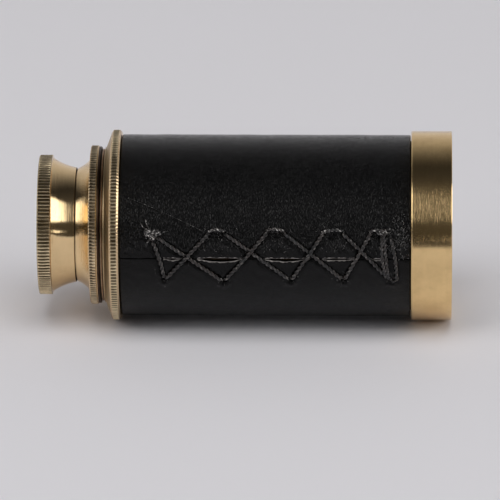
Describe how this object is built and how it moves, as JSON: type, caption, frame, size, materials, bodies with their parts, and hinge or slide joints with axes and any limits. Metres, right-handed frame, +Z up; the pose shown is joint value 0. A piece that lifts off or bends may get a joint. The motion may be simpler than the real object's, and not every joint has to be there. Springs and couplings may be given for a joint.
{
  "type": "pocket telescope",
  "caption": "Pocket spyglass with brass draw tubes that slide out of a leather-covered, laced barrel; knurled collars, dished eyepiece, glass objective.",
  "frame": {"origin": "under the middle of the closed instrument, on the surface that it lies on", "axes": "+X along the optical axis towards the objective, +Z up, the leather's laced seam on the -Y side"},
  "size_m": [0.0682, 0.0316, 0.0315],
  "materials": {
    "lacquered_brass": "polished and lacquered, fine turning lines",
    "knurled_brass": "straight knurl, dulled by age in the grooves",
    "satin_brass": "satin, brushed round the ring",
    "inner_brass": "as turned",
    "black_leather": "fine grain, satin",
    "waxed_thread": "twisted, waxed",
    "felt": "pressed felt",
    "coated_glass": "polished",
    "black_paint": "matt black"
  },
  "bodies": {
    "barrel": {"barrel_tube": "inner_brass", "barrel_collar": "knurled_brass", "barrel_lining": "felt", "leather_cover": "black_leather", "lacing_thread": "waxed_thread", "objective_ring": "satin_brass", "objective_cell": "black_paint", "flint_lens": "coated_glass", "crown_lens": "coated_glass", "lens_retaining_ring": "black_paint"},
    "draw_1": {"draw_1_tube": "lacquered_brass", "draw_1_threaded_collar": "knurled_brass", "draw_1_cap_ring": "knurled_brass", "draw_1_lining": "felt", "draw_1_guide_sleeve": "inner_brass", "draw_1_stop_ring": "black_paint"},
    "draw_2": {"draw_2_tube": "lacquered_brass", "draw_2_collar": "lacquered_brass", "draw_2_lining": "felt", "draw_2_stop_ring": "black_paint"},
    "draw_3": {"draw_3_tube": "lacquered_brass", "draw_3_stop_ring": "black_paint", "eyecup": "lacquered_brass", "eye_lens": "coated_glass", "eye_lens_ring": "inner_brass", "field_stop": "black_paint", "field_lens_cell": "black_paint", "field_lens": "coated_glass", "erector_tube": "inner_brass", "erector_eye_lens": "coated_glass", "erector_field_lens": "coated_glass", "erector_eye_ring": "black_paint", "erector_field_ring": "black_paint", "erector_stop": "black_paint"}
  },
  "joints": [
    {"name": "draw_1_slide", "type": "slide", "parent": "barrel", "child": "draw_1", "axis": [-1, 0, 0], "range_m": [0, 0.0355]},
    {"name": "draw_2_slide", "type": "slide", "parent": "draw_1", "child": "draw_2", "axis": [-1, 0, 0], "range_m": [0, 0.0355]},
    {"name": "draw_3_slide", "type": "slide", "parent": "draw_2", "child": "draw_3", "axis": [-1, 0, 0], "range_m": [0, 0.0355]}
  ]
}
